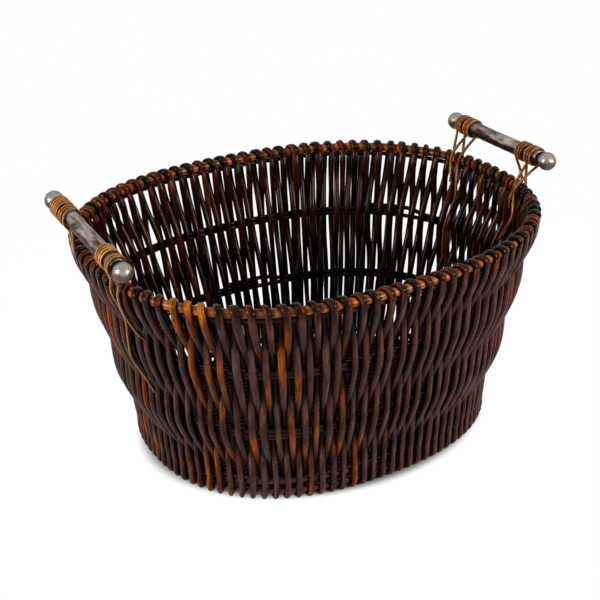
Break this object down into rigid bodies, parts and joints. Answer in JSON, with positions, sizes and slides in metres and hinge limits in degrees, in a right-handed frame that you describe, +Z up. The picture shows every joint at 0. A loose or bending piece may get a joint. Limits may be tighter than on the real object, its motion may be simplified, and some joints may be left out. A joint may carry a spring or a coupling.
{
  "type": "firewood basket",
  "caption": "Oval wicker firewood basket, open at the top, of stakes folded over a rim hoop and passed between ring rods, with a lashed metal bar handle at each end.",
  "frame": {"origin": "centre of the bounding box, on the ground under the stakes", "axes": "+X along the long axis towards the narrower end of the rim, +Y across towards the far side of the picture, +Z up out of the mouth"},
  "size_m": [0.6019, 0.486, 0.3394],
  "materials": {
    "rim_hoop": "honey-orange lacquered willow hoop",
    "ring_rod": "dark brown lacquered willow rod",
    "base_hoop": "red-brown lacquered willow hoop",
    "stake": "grey-brown to red-brown lacquered willow",
    "floor": "dark woven willow",
    "bar": "hammered antique grey with brown patina",
    "ball": "worn nickel",
    "rattan": "natural orange-brown rattan strand"
  },
  "bodies": {
    "root": {"rim_hoop": "rim_hoop", "rim_under_rod": "ring_rod", "upper_ring_top_rod": "ring_rod", "upper_ring_bottom_rod": "ring_rod", "lower_ring_top_rod": "ring_rod", "lower_ring_bottom_rod": "ring_rod", "base_upper_hoop": "base_hoop", "base_lower_hoop": "base_hoop", "stakes_01": "stake", "stakes_02": "stake", "stakes_03": "stake", "stakes_04": "stake", "stakes_05": "stake", "stakes_06": "stake", "stakes_07": "stake", "stakes_08": "stake", "stakes_09": "stake", "stakes_10": "stake", "stakes_11": "stake", "stakes_12": "stake", "stakes_13": "stake", "stakes_14": "stake", "stakes_15": "stake", "stakes_16": "stake", "stakes_17": "stake", "stakes_18": "stake", "stakes_19": "stake", "stakes_20": "stake", "stakes_21": "stake", "stakes_22": "stake", "stakes_23": "stake", "stakes_24": "stake", "stakes_25": "stake", "stakes_26": "stake", "stakes_27": "stake", "stakes_28": "stake", "stakes_29": "stake", "stakes_30": "stake", "stakes_31": "stake", "stakes_32": "stake", "floor_stick_1": "floor", "floor_stick_2": "floor", "floor_stick_3": "floor", "floor_stick_4": "floor", "floor_stick_5": "floor", "floor_panel": "floor", "left_bar": "bar", "left_near_ball": "ball", "left_far_ball": "ball", "left_near_lashing": "rattan", "left_far_lashing": "rattan", "right_bar": "bar", "right_near_ball": "ball", "right_far_ball": "ball", "right_near_lashing": "rattan", "right_far_lashing": "rattan"}
  },
  "joints": []
}
